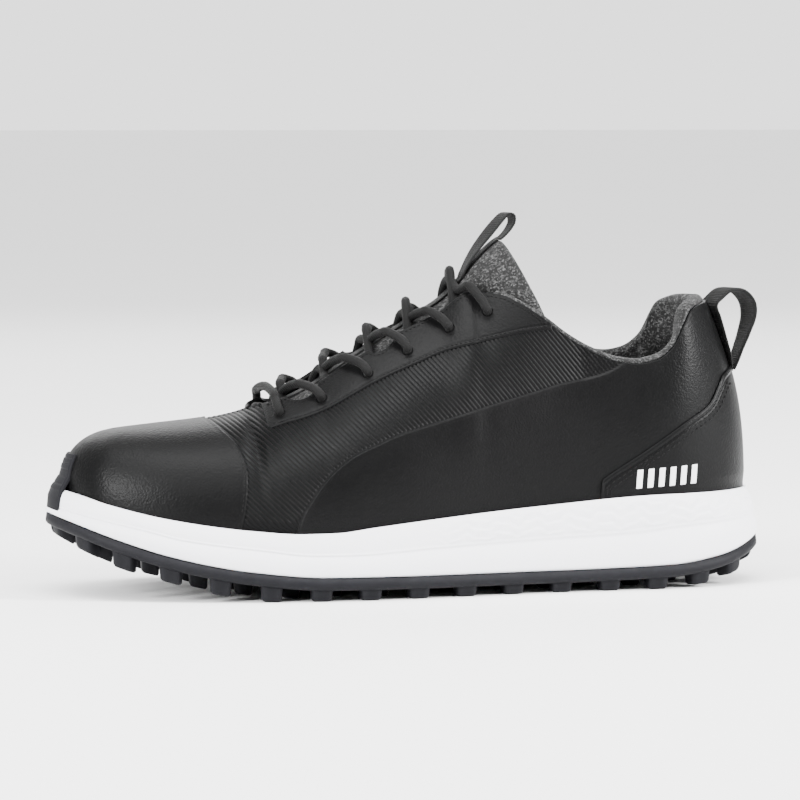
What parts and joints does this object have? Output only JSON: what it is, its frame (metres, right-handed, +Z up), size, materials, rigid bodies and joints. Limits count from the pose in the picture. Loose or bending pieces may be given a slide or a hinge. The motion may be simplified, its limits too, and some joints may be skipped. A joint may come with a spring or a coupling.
{
  "type": "golf shoe",
  "caption": "Left low golf shoe: lugged rubber outsole, foam midsole, smooth and ribbed leather upper, knit bootie with tongue, cord lacing and pull loops.",
  "frame": {"origin": "centre of the bounding box at the ground, under the lowest lug faces", "axes": "+X towards the heel, -Y towards the outer side of the foot, +Z up"},
  "size_m": [0.3, 0.1042, 0.1536],
  "materials": {
    "outsole_rubber": "matte black moulded rubber",
    "midsole_foam": "white moulded foam, fine satin skin",
    "upper_leather": "black synthetic leather with a fine grain",
    "knit": "grey heather knit",
    "webbing": "black ribbed webbing",
    "lace_cord": "black round braided cord",
    "aglet_tip": "black film tip",
    "print_white": "white raised film",
    "liner_foam": "fabric-faced foam",
    "board": "stitched fibre board",
    "shank_plastic": "moulded stiffening plate"
  },
  "bodies": {
    "shell": {"aglet_left": "aglet_tip", "aglet_right": "aglet_tip", "bootie": "knit", "collar_foam": "liner_foam", "eyestay_backer_lateral": "board", "eyestay_backer_medial": "board", "eyestay_lateral": "upper_leather", "eyestay_medial": "upper_leather", "heel_counter": "board", "heel_mark": "print_white", "heel_overlay": "upper_leather", "lace": "lace_cord", "midsole": "midsole_foam", "outsole": "outsole_rubber", "quarter_lateral": "upper_leather", "quarter_medial": "upper_leather", "shank": "shank_plastic", "strobel_board": "board", "toe_bumper": "outsole_rubber", "toe_cap": "upper_leather", "toe_puff": "board", "vamp": "upper_leather", "vamp_lining": "knit"},
    "tongue": {"tongue": "knit", "tongue_binding": "webbing"},
    "tongue_loop": {"tongue_loop": "webbing"},
    "heel_loop": {"heel_loop": "webbing"},
    "sock_liner": {"sock_liner": "liner_foam"}
  },
  "joints": [
    {"name": "tongue_flex", "type": "hinge", "parent": "shell", "child": "tongue", "pos_m": [-0.0621, 0.005, 0.07], "axis": [0, 1, 0], "range_deg": [0, 6], "stiffness_Nm_per_rad": 1.2},
    {"name": "tongue_loop_swing", "type": "hinge", "parent": "tongue", "child": "tongue_loop", "pos_m": [0.0257, 0, 0.135], "axis": [0, 1, 0], "range_deg": [-25, 0], "stiffness_Nm_per_rad": 0.01},
    {"name": "heel_loop_swing", "type": "hinge", "parent": "shell", "child": "heel_loop", "pos_m": [0.1392, 0.002, 0.0909], "axis": [0, 1, 0], "range_deg": [0, 30], "stiffness_Nm_per_rad": 0.02},
    {"name": "liner_lift", "type": "hinge", "parent": "shell", "child": "sock_liner", "pos_m": [-0.133, 0.0075, 0.0375], "axis": [0, 1, 0], "range_deg": [-4, 0]}
  ]
}
